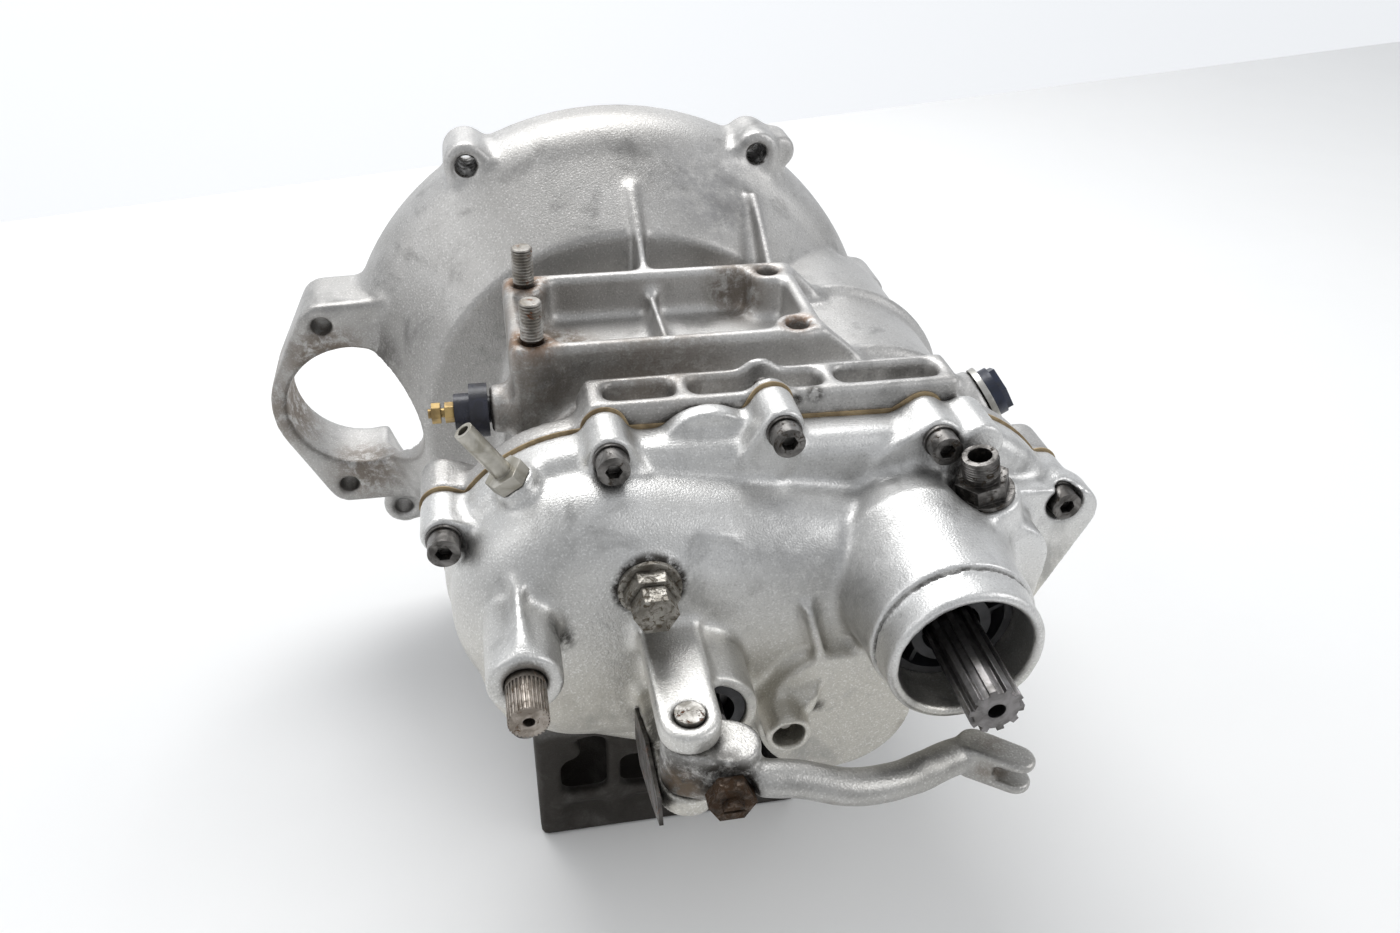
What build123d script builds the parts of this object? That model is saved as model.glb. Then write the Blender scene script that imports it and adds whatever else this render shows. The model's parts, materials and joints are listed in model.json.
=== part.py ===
from build123d import *
import math
import os

# Five-speed gearbox with an integral clutch bell housing and a separate rear cover, in millimetres.
# Frame: origin on the clutch shaft axis at the engine face of the bell, +Y forwards to the engine,
# +X to the right seen from the rear, +Z up.

# ---------------------------------------------------------------- driving dimensions
BELL_R = 152.0              # outer radius of the bell and pitch radius of its bolts
BELL_BOLT_R = 5.25          # clearance hole for M10
BELL_BOSS_R = 12.0
BELL_BOSS_END = -33.0
BELL_BOLT_ANGLES = (-165, -120, -30, 30, 73, 120, 165)   # from the top, clockwise seen from the rear
FLOOR_Z = -160.0            # underside of the rear foot

CLUTCH = (0.0, 0.0)         # shaft axes (x, z)
MAIN = (68.0, -32.0)
OUTPUT = (97.0, 30.0)
DRUM = (8.0, 50.0)
FORK_ROD = (40.0, 34.0)
SHIFT = (-70.0, 29.0)
ADJUSTER = (-19.0, 44.0)
SPRING_BOSS = (36.0, -25.0)

JOINT_Y = -215.0            # joint plane of case and cover
GASKET = 0.6
COVER_Y = JOINT_Y - GASKET
BASE_REAR = -236.0          # rear of the cover's flat base
DOME_REAR = -270.0          # rear of the cover's dome
WALL_Y = -86.0              # rear face of the wall between bell and gears
COLLAR_REAR = -316.0
COLLAR_R = 32.0
COLLAR_BORE_R = 27.2

COVER_BOLTS = (
    (-96.7, 52.5), (-29.3, 84), (40.3, 90), (107.7, 79.3), (168, 44.5),
    (-71, -50), (0, -97), (58, -92), (138, -50),
)
COVER_BOSS_REAR = -238.0
COVER_BOLT_R = 4.0
COVER_HOLE_R = 4.06
COVER_HEAD_R = 6.5
COVER_HEAD_LEN = 8.0
WASHER_THICK = 1.6
POCKET_R = 8.2              # recess round a cover bolt's head

STARTER = (-148.2, -0.5)
STARTER_R = 36.6
STARTER_DEPTH = 40.0
STARTER_BOLTS = ((-159.5, 50.0), (-159.5, -52.0))
STARTER_BOLT_R = 5.25

BRACKET_Z = 102.0
BRACKET_X = (-64.0, 76.0)
BRACKET_Y = (-177.0, -101.0)
STUDS = ((-54.0, -168.0), (-54.0, -111.0))
STUD_R = 5.0
STUD_ROOT_R = 4.6           # part of a stud inside the bracket
STUD_HEIGHT = 18.0
BRACKET_HOLES = ((64.0, -168.0), (64.0, -111.0))
BRACKET_HOLE_R = 5.25

FIT = 0.05                  # radial clearance of shafts, bearings and pins
BACKLASH = 0.45
PRESSURE_ANGLE = math.radians(20)
GEAR_WIDTH = 12.0
SHAFT_R = 12.0
PRIMARY_TEETH = (17, 21)
MAIN_TEETH = (17, 19, 21, 23, 24)
OUTPUT_TEETH = (27, 26, 22, 20, 18)
GEAR_Y = (-174.0, -206.0, -154.0, -122.0, -97.0)         # middle of first to fifth
SLEEVE_Y = (-190.0, -138.0, -109.5)
SLEEVE_WIDTH = (11.0, 11.0, 6.0)
PRIMARY_Y = -221.0
GEAR_NAMES = ("first", "second", "third", "fourth", "fifth")
FORK_NAMES = ("low", "middle", "top")

PIVOT = (-12.0, -320.0)     # clutch lever pin (x, y)
PIVOT_R = 5.75
LUG_TOP = (14.0, 24.0)
LUG_BOTTOM = (-20.0, -10.0)
LEVER_EYE = (-9.6, 13.6)

SPEEDO_BASE = (122.8, -255.0, 62.1)     # points and unit directions of the tilted fittings
SPEEDO_TILT = (-0.2331, 0.0, 0.9724)
BREATHER_BASE = (-67.5, -237.0, 76.0)
BREATHER_AXIS = (-0.5547, 0.0, 0.8321)
FILLER_BASE = (132.0, -165.0, 35.0)
FILLER_AXIS = (0.8670, 0.0, 0.4983)
FILLER_BOSS = 34.0
SWITCH = (-165.0, 67.0)                 # neutral switch (y, z) on the left wall
DRAIN = (98.0, -150.0)                  # drain plug (x, y) underneath


# ---------------------------------------------------------------- helpers
def rear_plane(y, x=0.0, z=0.0):
    """Plane square to Y: sketch x is +X, sketch y is +Z, and its normal points to the rear."""
    return Plane(origin=(x, y, z), x_dir=(1, 0, 0), z_dir=(0, -1, 0))


def bar(radius, front, rear, centre=(0.0, 0.0), mode=Mode.ADD):
    """Round bar along Y, or a bore with Mode.SUBTRACT."""
    with Locations((centre[0], (front + rear) / 2, centre[1])):
        Cylinder(radius, abs(front - rear), rotation=(90, 0, 0), mode=mode)


def taper(front_r, rear_r, front, rear, centre=(0.0, 0.0), mode=Mode.ADD):
    """Cone along Y."""
    with Locations((centre[0], (front + rear) / 2, centre[1])):
        Cone(front_r, rear_r, abs(front - rear), rotation=(90, 0, 0), mode=mode)


def block(x, y, z, mode=Mode.ADD):
    """Box between two limits on each axis."""
    with Locations(((x[0] + x[1]) / 2, (y[0] + y[1]) / 2, (z[0] + z[1]) / 2)):
        Box(abs(x[1] - x[0]), abs(y[1] - y[0]), abs(z[1] - z[0]), mode=mode)


def hull_sketch(circles, y, grow=0.0):
    """Outline round a set of (x, z, radius) circles, on the plane at y."""
    with BuildSketch(rear_plane(y)) as sketch:
        with BuildLine():
            for x, z, radius in circles:
                CenterArc((x, z), radius + grow, 0, 360)
        make_hull()
    return sketch.sketch


def hull_bar(circles, front, rear, grow=0.0, mode=Mode.ADD):
    """Prism of such an outline from front to rear."""
    extrude(hull_sketch(circles, front, grow), amount=front - rear, mode=mode)


def plate(points, front, rear, mode=Mode.ADD):
    """Prism along Y of a closed (x, z) polygon."""
    with BuildSketch(rear_plane(front)) as sketch:
        with BuildLine():
            Polyline(*points, close=True)
        make_face()
    extrude(sketch.sketch, amount=front - rear, mode=mode)


def side_plate(points, left, right, mode=Mode.ADD):
    """Prism along X of a closed (y, z) polygon."""
    with BuildSketch(Plane.YZ.offset(left)) as sketch:
        with BuildLine():
            Polyline(*points, close=True)
        make_face()
    extrude(sketch.sketch, amount=right - left, mode=mode)


def ring(outer, inner, front, rear, centre):
    """Round ring along Y."""
    bar(outer, front, rear, centre)
    bar(inner, front, rear, centre, Mode.SUBTRACT)


def gear_points(teeth, pitch_r, phase):
    """Involute stub-tooth outline, with one tooth centred at phase (degrees)."""
    module = 2 * pitch_r / teeth
    base_r = pitch_r * math.cos(PRESSURE_ANGLE)
    root_r = pitch_r - 1.05 * module
    tip_r = pitch_r + 0.75 * module
    half_pitch = math.pi / (2 * teeth) - BACKLASH / (2 * pitch_r)
    involute_at_pitch = math.tan(PRESSURE_ANGLE) - PRESSURE_ANGLE
    flank = []
    start_r = max(base_r, root_r) + 0.05
    for step in range(4):
        radius = start_r + (tip_r - start_r) * step / 3
        angle = math.acos(base_r / radius)
        flank.append((radius, half_pitch + involute_at_pitch - (math.tan(angle) - angle)))
    foot = (root_r, flank[0][1] + 0.3 / pitch_r)
    side = [foot] + flank
    points = []
    for tooth in range(teeth):
        middle = math.radians(phase) + tooth * 2 * math.pi / teeth
        for radius, angle in side:
            points.append((radius * math.cos(middle - angle), radius * math.sin(middle - angle)))
        for radius, angle in reversed(side):
            points.append((radius * math.cos(middle + angle), radius * math.sin(middle + angle)))
    return points


def gear(centre, teeth, pitch_r, phase, y, width):
    """Solid toothed disc."""
    points = [(centre[0] + px, centre[1] + pz) for px, pz in gear_points(teeth, pitch_r, phase)]
    plate(points, y + width / 2, y - width / 2)


def splines(centre, root_r, tip_r, count, front, rear):
    """Straight-sided splines added round a shaft."""
    height = tip_r - root_r + 1.0
    width = math.pi * root_r / count
    for step in range(count):
        angle = 360 * step / count
        middle = (root_r - 1.0 + tip_r) / 2
        turn = math.radians(angle)
        at = (centre[0] + middle * math.cos(turn), (front + rear) / 2, centre[1] + middle * math.sin(turn))
        with Locations(Location(at, (0, -angle, 0))):
            Box(height, front - rear, width)


def finish(part, name):
    part.label = name
    export_step(part, f"parts/{name}.step")


def tilted(origin, direction):
    """Plane through origin whose normal is direction."""
    return Plane(origin=origin, z_dir=direction)


def along(origin, direction, distance):
    """Point at a distance from origin along a direction."""
    return tuple(o + d * distance for o, d in zip(origin, direction))


def tilted_bar(radius, origin, direction, start, end, mode=Mode.ADD):
    """Round bar along any direction, from start to end."""
    with BuildSketch(tilted(along(origin, direction, start), direction)) as sketch:
        Circle(radius)
    extrude(sketch.sketch, amount=end - start, mode=mode)


def tilted_hex(flats, origin, direction, start, end):
    """Hexagonal bar along any direction."""
    with BuildSketch(tilted(along(origin, direction, start), direction)) as sketch:
        RegularPolygon(flats / 2, 6, major_radius=False)
    extrude(sketch.sketch, amount=end - start)


def hex_bar(flats, front, rear, centre, mode=Mode.ADD):
    """Hexagonal bar along Y."""
    with BuildSketch(rear_plane(front, centre[0], centre[1])) as sketch:
        RegularPolygon(flats / 2, 6, major_radius=False)
    extrude(sketch.sketch, amount=front - rear, mode=mode)


def pillow(circles, rear, radius, grow=0.0):
    """Outline from the joint to rear, with its rear edge rounded."""
    with BuildPart() as shape:
        extrude(hull_sketch(circles, COVER_Y, grow), amount=COVER_Y - rear)
        fillet(shape.faces().sort_by(Axis.Y)[0].edges(), radius)
    return shape.part


os.makedirs("parts", exist_ok=True)

centre_distance = math.dist(MAIN, OUTPUT)
primary_distance = math.dist(CLUTCH, MAIN)
mesh_angle = math.degrees(math.atan2(OUTPUT[1] - MAIN[1], OUTPUT[0] - MAIN[0]))
primary_angle = math.degrees(math.atan2(MAIN[1] - CLUTCH[1], MAIN[0] - CLUTCH[0]))

# Outlines as (x, z, radius) circles
SEAM = ((-37, 22, 62), (-60, -40, 27), (10, -54, 40), (110, 13, 68), (84, -34, 60))
CAVITY = ((-37, 22, 54), (-40, -30, 24), (10, -54, 32), (110, 13, 60), (84, -34, 52))
BODY = ((-9, 26, 54), (-36, -34, 36), (97, 16, 66), (72, -32, 56))
DOME = ((-37, 18, 60), (-45, -12, 40), (88, 12, 42), (60, -32, 34))
DISC = (62.0, -33.0)

bolt_places = [
    (BELL_R * math.sin(math.radians(a)), BELL_R * math.cos(math.radians(a))) for a in BELL_BOLT_ANGLES
]

# ---------------------------------------------------------------- gearbox case
with BuildPart() as bell_inside:
    with BuildSketch(Plane.XY):
        with BuildLine():
            mouth = BELL_R - 11
            Polyline((0, 5), (mouth, 5), (mouth, -20), (BELL_R - 20, -38), (96, -72), (0, -72), (0, 5))
        make_face()
    revolve(axis=Axis.Y)

with BuildPart() as gearbox_case:
    # starter flange, as deep as the starter's nose, joined to the bell's side
    flange = [(x, z, 12.5) for x, z in STARTER_BOLTS]
    flange += [(STARTER[0], STARTER[1], 45.5), (-112, 52, 12), (-112, -52, 12)]
    hull_bar(flange, 0, -STARTER_DEPTH)
    # bell
    with BuildSketch(Plane.XY):
        with BuildLine():
            Line((0, 0), (BELL_R, 0))
            Line((BELL_R, 0), (BELL_R, -12))
            ThreePointArc((BELL_R, -12), (149, -27), (139, -40))
            Line((139, -40), (110, -78))
            Line((110, -78), (0, -78))
            Line((0, -78), (0, 0))
        make_face()
    revolve(axis=Axis.Y)
    for bx, bz in bolt_places:
        boss = ((bx, bz, BELL_BOSS_R), (bx * 0.9, bz * 0.9, BELL_BOSS_R + 3))
        hull_bar(boss, 0, BELL_BOSS_END)
    bar(9, -4, -27, (90, 130))
    # body behind the bell, its joint flange and the ridges round its right side
    hull_bar(BODY, -40, JOINT_Y + 12)
    hull_bar(SEAM, JOINT_Y + 13, JOINT_Y)
    right_side = BODY[2:]
    for ridge_y in (-98, -163):
        hull_bar(right_side, ridge_y, ridge_y - 5, grow=4.5)
    # ears for the cover's bolts
    for bx, bz in COVER_BOLTS:
        hull_bar(((bx, bz, 9.5), (bx * 0.8, bz * 0.8, 11)), JOINT_Y + 24, JOINT_Y)
    # top bracket
    block((BRACKET_X[0], BRACKET_X[0] + 12), BRACKET_Y, (20, BRACKET_Z))
    block(BRACKET_X, BRACKET_Y, (60, BRACKET_Z))
    plate(((70, BRACKET_Z), (80, BRACKET_Z - 4), (122, 60), (60, 50)), -169, -176)
    plate(((70, BRACKET_Z), (80, BRACKET_Z - 4), (118, 60), (60, 50)), -102, -109)
    block((BRACKET_X[0] + 7, BRACKET_X[1] - 7), (BRACKET_Y[0] + 7, BRACKET_Y[1] - 7), (80, 120), Mode.SUBTRACT)
    for hx, hy in STUDS + BRACKET_HOLES:
        with Locations((hx, hy, (76 + BRACKET_Z) / 2)):
            Cylinder(10.5, BRACKET_Z - 76)
    side_plate(((-172, 78), (-172, 92), (-106, 92), (-106, 78)), 5, 9)
    # ribs from the bell down to the bracket
    side_plate(((-50, 129), (-60, 128), (-90, 109), (-104, 100), (-104, 70), (-58, 90)), 3, 7)
    side_plate(((-50, 120), (-66, 112), (-106, 90), (-104, 66), (-50, 90)), 68, 73)
    # shelf along the top of the joint, with shallow pockets
    block((-35, 125), (JOINT_Y, JOINT_Y + 25), (40, 94))
    for x0, x1 in ((-28, 2), (8, 66), (72, 118)):
        block((x0, x1), (JOINT_Y + 6, JOINT_Y + 20), (80, 99), Mode.SUBTRACT)
    # rear foot
    block((-68, 69), (JOINT_Y, -150), (FLOOR_Z, -62))
    plate(((-68, FLOOR_Z), (69, FLOOR_Z), (69, -84), (-68, -84)), JOINT_Y, JOINT_Y - 6)
    hull_bar(SEAM, JOINT_Y, JOINT_Y - 7, grow=1.0, mode=Mode.SUBTRACT)
    for bx, bz in COVER_BOLTS:
        ear = ((bx, bz, 10.5), (bx * 0.85, bz * 0.85, 11.5))
        hull_bar(ear, JOINT_Y, JOINT_Y - 7, mode=Mode.SUBTRACT)
    block((-60, 61), (JOINT_Y + 2, -140), (FLOOR_Z + 9, -110), Mode.SUBTRACT)
    block((-60, -30), (JOINT_Y + 2, -140), (-115, -92), Mode.SUBTRACT)
    for x0, x1, top in ((-56, -33, -92), (-26, 14, -108), (21, 60, -108)):
        block((x0, x1), (JOINT_Y - 8, JOINT_Y + 4), (-131, top), Mode.SUBTRACT)
        block((x0, x1), (JOINT_Y - 8, JOINT_Y - 2), (-154, -137), Mode.SUBTRACT)
    bar(6, JOINT_Y + 8, JOINT_Y - 4, (-51, -103))
    block((-60, -47), (JOINT_Y + 8, JOINT_Y), (-107, -90))
    # filler boss on the right, switch boss on the left, drain boss below
    tilted_bar(16, FILLER_BASE, FILLER_AXIS, 0, FILLER_BOSS)
    with Locations((-65.5, *SWITCH)):
        Cylinder(11, 19, rotation=(0, 90, 0))
    with Locations((*DRAIN, -69.5)):
        Cylinder(13, 41)
    # inner volume of the gear chamber
    hull_bar(BODY, WALL_Y, JOINT_Y - 1, grow=-6, mode=Mode.SUBTRACT)
    add(bell_inside.part, mode=Mode.SUBTRACT)
    # bearing seats and bores in the front wall
    for centre, radius in ((CLUTCH, 30), (MAIN, 30), (OUTPUT, 31), (DRUM, 14), (FORK_ROD, 12)):
        bar(radius, -72, WALL_Y - 2, centre)
    bar(26 + FIT, -74, -95, CLUTCH, Mode.SUBTRACT)
    bar(20, -60, -80, CLUTCH, Mode.SUBTRACT)
    bar(23.5 + FIT, -75, -95, MAIN, Mode.SUBTRACT)
    bar(26 + FIT, -75, -95, OUTPUT, Mode.SUBTRACT)
    bar(8 + FIT, -76, -95, DRUM, Mode.SUBTRACT)
    bar(6 + FIT, -76, -95, FORK_ROD, Mode.SUBTRACT)
    # starter bore, its bolts and the window for its pinion
    bar(STARTER_R, 1, -STARTER_DEPTH - 1, STARTER, Mode.SUBTRACT)
    block((-125, -100), (-26, 1), (-28, 6), Mode.SUBTRACT)
    for centre in STARTER_BOLTS:
        bar(STARTER_BOLT_R, 1, -STARTER_DEPTH - 1, centre, Mode.SUBTRACT)
    # bell bolts
    for centre in bolt_places:
        bar(BELL_BOLT_R, 1, BELL_BOSS_END - 1, centre, Mode.SUBTRACT)
    # holes for cover bolts, studs and bracket bolts
    for centre in COVER_BOLTS:
        bar(COVER_HOLE_R, JOINT_Y + 16, JOINT_Y - 8, centre, Mode.SUBTRACT)
    for hx, hy in STUDS:
        with Locations((hx, hy, 91)):
            Cylinder(STUD_ROOT_R + FIT, 24, mode=Mode.SUBTRACT)
    for hx, hy in BRACKET_HOLES:
        with Locations((hx, hy, 91)):
            Cylinder(BRACKET_HOLE_R, 24, mode=Mode.SUBTRACT)
    bar(3, JOINT_Y + 10, JOINT_Y - 8, (-51, -103), Mode.SUBTRACT)
    tilted_bar(9 + FIT, FILLER_BASE, FILLER_AXIS, 0, FILLER_BOSS + 1, Mode.SUBTRACT)
    with Locations((-65.5, *SWITCH)):
        Cylinder(6 + FIT, 23, rotation=(0, 90, 0), mode=Mode.SUBTRACT)
    with Locations((*DRAIN, -75)):
        Cylinder(7 + FIT, 34, mode=Mode.SUBTRACT)
finish(gearbox_case.part, "gearbox_case")

# ---------------------------------------------------------------- rear cover
dome = pillow(DOME, DOME_REAR, 30)
base = pillow(SEAM, BASE_REAR, 9)
dome_inside = pillow(DOME, DOME_REAR + 8, 22, grow=-8)
with BuildPart() as base_inside:
    hull_bar(CAVITY, COVER_Y, BASE_REAR + 7)

with BuildPart() as rear_cover:
    add(base)
    add(dome)
    # bolt bosses
    for bx, bz in COVER_BOLTS:
        hull_bar(((bx, bz, 9.3), (bx * 0.85, bz * 0.85, 10.5)), COVER_Y, COVER_BOSS_REAR)
    hull_bar(((125, 77, 10), (118, 62, 12)), COVER_Y, -243)
    # low arch between the top bolts
    bar(24, COVER_Y, -225, (13, 69))
    # output housing: cone, then collar with a groove for the boot's clip
    taper(34, 40, -232, -258, OUTPUT)
    taper(40, COLLAR_R + 2.5, -258, -286, OUTPUT)
    bar(COLLAR_R + 2.5, -284, -300.5, OUTPUT)
    bar(COLLAR_R, -284, COLLAR_REAR, OUTPUT)
    # bearing disc
    bar(35, -234, -278, DISC)
    # housing of the speedometer drive, right of the output
    hull_bar(((132, 33, 20), (118, 16, 32)), -230, -268)
    hull_bar(((172, 39, 13), (130, 30, 26), (140, 0, 26)), -230, -246)
    tilted_bar(15.5, SPEEDO_BASE, SPEEDO_TILT, -34, 0)
    # gear-change boss with its rib
    bar(14.6, -228, -301, SHIFT)
    side_plate(((-250, 29), (-298, 29), (-296, 45), (-262, 52), (-250, 52)), SHIFT[0] - 2, SHIFT[0] + 2)
    # pads for the adjuster and the breather
    bar(13.5, -255, DOME_REAR, ADJUSTER)
    tilted_bar(9, BREATHER_BASE, BREATHER_AXIS, -14, 1)
    # clutch thrust boss and the two lugs of the lever's fork
    bar(20, -258, -300, CLUTCH)
    for z0, z1 in (LUG_TOP, LUG_BOTTOM):
        with BuildSketch(Plane.XY.offset(z0)) as lug:
            with Locations(PIVOT):
                Circle(12)
            with Locations((PIVOT[0], (PIVOT[1] - 258) / 2)):
                Rectangle(24, -258 - PIVOT[1])
        extrude(lug.sketch, amount=z1 - z0)
    # spring boss with a web to the disc, and the thin fin above the disc
    bar(9.8, -258, -295, SPRING_BOSS)
    plate(((40, -18), (52, -12), (50, -22), (40, -30)), -258, -284)
    plate(((43.5, 27), (47.5, 27), (58.5, -12), (54, -13)), -262, -277.5)
    # inside
    add(dome_inside, mode=Mode.SUBTRACT)
    add(base_inside.part, mode=Mode.SUBTRACT)
    for centre, radius in ((CLUTCH, 29), (MAIN, 29), (DRUM, 12), (FORK_ROD, 10)):
        bar(radius, -248, -264, centre)
    bar(23.5 + FIT, -240, -261, CLUTCH, Mode.SUBTRACT)
    bar(23.5 + FIT, -240, -261, MAIN, Mode.SUBTRACT)
    bar(16, -240, -266, MAIN, Mode.SUBTRACT)
    bar(8 + FIT, -240, -258, DRUM, Mode.SUBTRACT)
    bar(6 + FIT, -240, -258, FORK_ROD, Mode.SUBTRACT)
    bar(26 + FIT, -230, -277, OUTPUT, Mode.SUBTRACT)
    bar(22 + FIT, -270, -290, OUTPUT, Mode.SUBTRACT)
    bar(COLLAR_BORE_R, -284, COLLAR_REAR - 1, OUTPUT, Mode.SUBTRACT)
    tilted_bar(10.5, SPEEDO_BASE, SPEEDO_TILT, -33, -17, Mode.SUBTRACT)
    tilted_bar(8 + FIT, SPEEDO_BASE, SPEEDO_TILT, -18, 1, Mode.SUBTRACT)
    tilted_bar(13.6, SPEEDO_BASE, SPEEDO_TILT, 0, 14, Mode.SUBTRACT)
    bar(7.65 + FIT, -220, -302, SHIFT, Mode.SUBTRACT)
    bar(5 + FIT, -240, -271, ADJUSTER, Mode.SUBTRACT)
    tilted_bar(4 + FIT, BREATHER_BASE, BREATHER_AXIS, -20, 2, Mode.SUBTRACT)
    bar(10 + FIT, -258, -301, CLUTCH, Mode.SUBTRACT)
    bar(15, -284, -301, CLUTCH, Mode.SUBTRACT)
    bar(7.0, -277, -296, SPRING_BOSS, Mode.SUBTRACT)
    with Locations((PIVOT[0], PIVOT[1], 0)):
        Cylinder(PIVOT_R + FIT, 60, mode=Mode.SUBTRACT)
    # bolt holes and the pockets round the bolt heads
    for centre in COVER_BOLTS:
        bar(COVER_HOLE_R, COVER_Y + 1, -250, centre, Mode.SUBTRACT)
        bar(POCKET_R, COVER_BOSS_REAR, -290, centre, Mode.SUBTRACT)
    # groove round the collar
    with BuildSketch(rear_plane(-300.5, *OUTPUT)) as groove:
        Circle(COLLAR_R + 3)
        Circle(COLLAR_R - 1.2, mode=Mode.SUBTRACT)
    extrude(groove.sketch, amount=2, mode=Mode.SUBTRACT)
finish(rear_cover.part, "rear_cover")

with BuildPart() as cover_gasket:
    hull_bar(SEAM, JOINT_Y, COVER_Y, grow=0.7)
    for bx, bz in COVER_BOLTS:
        hull_bar(((bx, bz, 9.8), (bx * 0.85, bz * 0.85, 10.5)), JOINT_Y, COVER_Y)
    hull_bar(CAVITY, JOINT_Y + 1, COVER_Y - 1, grow=1, mode=Mode.SUBTRACT)
    for centre in COVER_BOLTS:
        bar(COVER_HOLE_R + 0.2, JOINT_Y + 1, COVER_Y - 1, centre, Mode.SUBTRACT)
finish(cover_gasket.part, "cover_gasket")

head_front = COVER_BOSS_REAR - WASHER_THICK
with BuildPart() as cover_bolts:
    for centre in COVER_BOLTS:
        bar(COVER_BOLT_R, JOINT_Y + 14, head_front, centre)
        bar(COVER_HEAD_R, head_front, head_front - COVER_HEAD_LEN, centre)
        hex_bar(6, head_front - COVER_HEAD_LEN + 4, head_front - COVER_HEAD_LEN - 1, centre, Mode.SUBTRACT)
finish(cover_bolts.part, "cover_bolts")

with BuildPart() as cover_washers:
    for centre in COVER_BOLTS:
        ring(7.3, COVER_HOLE_R + 0.1, COVER_BOSS_REAR, head_front, centre)
finish(cover_washers.part, "cover_washers")

with BuildPart() as bracket_studs:
    for stud_x, stud_y in STUDS:
        with Locations((stud_x, stud_y, (82 + BRACKET_Z) / 2 + 0.1)):
            Cylinder(STUD_ROOT_R, BRACKET_Z - 82)
        with Locations((stud_x, stud_y, BRACKET_Z + 0.1 + STUD_HEIGHT / 2)):
            Cylinder(STUD_R, STUD_HEIGHT)
finish(bracket_studs.part, "bracket_studs")


# ---------------------------------------------------------------- shafts, gears and bearings
def bearing(name, centre, outer, inner, front, rear):
    """Ball bearing as one ring, with recessed shields between its two races."""
    with BuildPart() as race:
        ring(outer - FIT, inner + FIT, front, rear, centre)
        for y0, y1 in ((front + 1, front - 1.2), (rear + 1.2, rear - 1)):
            with BuildSketch(rear_plane(y0, *centre)) as shield:
                Circle(outer - 4)
                Circle(inner + 4, mode=Mode.SUBTRACT)
            extrude(shield.sketch, amount=y0 - y1, mode=Mode.SUBTRACT)
    finish(race.part, name)


bearing("clutch_shaft_front_bearing", CLUTCH, 26, SHAFT_R, -74.3, -89)
bearing("clutch_shaft_rear_bearing", CLUTCH, 23.5, SHAFT_R, -248, -260.7)
bearing("main_shaft_front_bearing", MAIN, 23.5, SHAFT_R, -75.3, -88)
bearing("main_shaft_rear_bearing", MAIN, 23.5, SHAFT_R, -248, -260.7)
bearing("output_front_bearing", OUTPUT, 26, SHAFT_R, -75.3, -88)
bearing("output_rear_bearing", OUTPUT, 26, SHAFT_R, -262, -276.7)

with BuildPart() as input_seal:
    ring(20 - FIT, SHAFT_R + FIT, -66, -74, CLUTCH)
finish(input_seal.part, "input_seal")

with BuildPart() as clutch_shaft:
    bar(SHAFT_R, -60, -260.7, CLUTCH)
    bar(9.5, -28, -60, CLUTCH)
    splines(CLUTCH, 9.5, 11.5, 12, -28, -60)
    bar(4, -20, -270, CLUTCH, Mode.SUBTRACT)
finish(clutch_shaft.part, "clutch_shaft")

with BuildPart() as main_shaft:
    bar(SHAFT_R, -75.5, -262, MAIN)
finish(main_shaft.part, "main_shaft")

with BuildPart() as output_shaft:
    bar(SHAFT_R, -75.5, -291, OUTPUT)
    bar(8.8, -290, -343, OUTPUT)
    splines(OUTPUT, 8.8, 10.6, 10, -291, -343)
    bar(3.5, -333, -344, OUTPUT, Mode.SUBTRACT)
finish(output_shaft.part, "output_shaft")


def wheel(name, centre, teeth, pitch_r, phase, y, bore):
    """Gear wheel with a bore and thinned faces."""
    with BuildPart() as toothed:
        gear(centre, teeth, pitch_r, phase, y, GEAR_WIDTH)
        bar(bore, y + 20, y - 20, centre, Mode.SUBTRACT)
        root_r = pitch_r - 2.1 * pitch_r / teeth
        if root_r - bore > 12:
            for y0 in (y + GEAR_WIDTH / 2, y - GEAR_WIDTH / 2 + 1.5):
                with BuildSketch(rear_plane(y0, *centre)) as web:
                    Circle(root_r - 3)
                    Circle(bore + 6, mode=Mode.SUBTRACT)
                extrude(web.sketch, amount=1.5, mode=Mode.SUBTRACT)
    finish(toothed.part, name)


pinion_teeth, wheel_teeth = PRIMARY_TEETH
pinion_r = primary_distance * pinion_teeth / (pinion_teeth + wheel_teeth)
wheel_phase = primary_angle + 180 + 180 / wheel_teeth
wheel("primary_pinion", CLUTCH, pinion_teeth, pinion_r, primary_angle, PRIMARY_Y, SHAFT_R + FIT)
wheel("primary_gear", MAIN, wheel_teeth, primary_distance - pinion_r, wheel_phase, PRIMARY_Y, SHAFT_R + FIT)
for name, n_main, n_output, y in zip(GEAR_NAMES, MAIN_TEETH, OUTPUT_TEETH, GEAR_Y):
    main_r = centre_distance * n_main / (n_main + n_output)
    output_phase = mesh_angle + 180 + 180 / n_output
    wheel(f"main_gear_{name}", MAIN, n_main, main_r, mesh_angle, y, SHAFT_R + FIT)
    wheel(f"output_gear_{name}", OUTPUT, n_output, centre_distance - main_r, output_phase, y, SHAFT_R + FIT)

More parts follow.
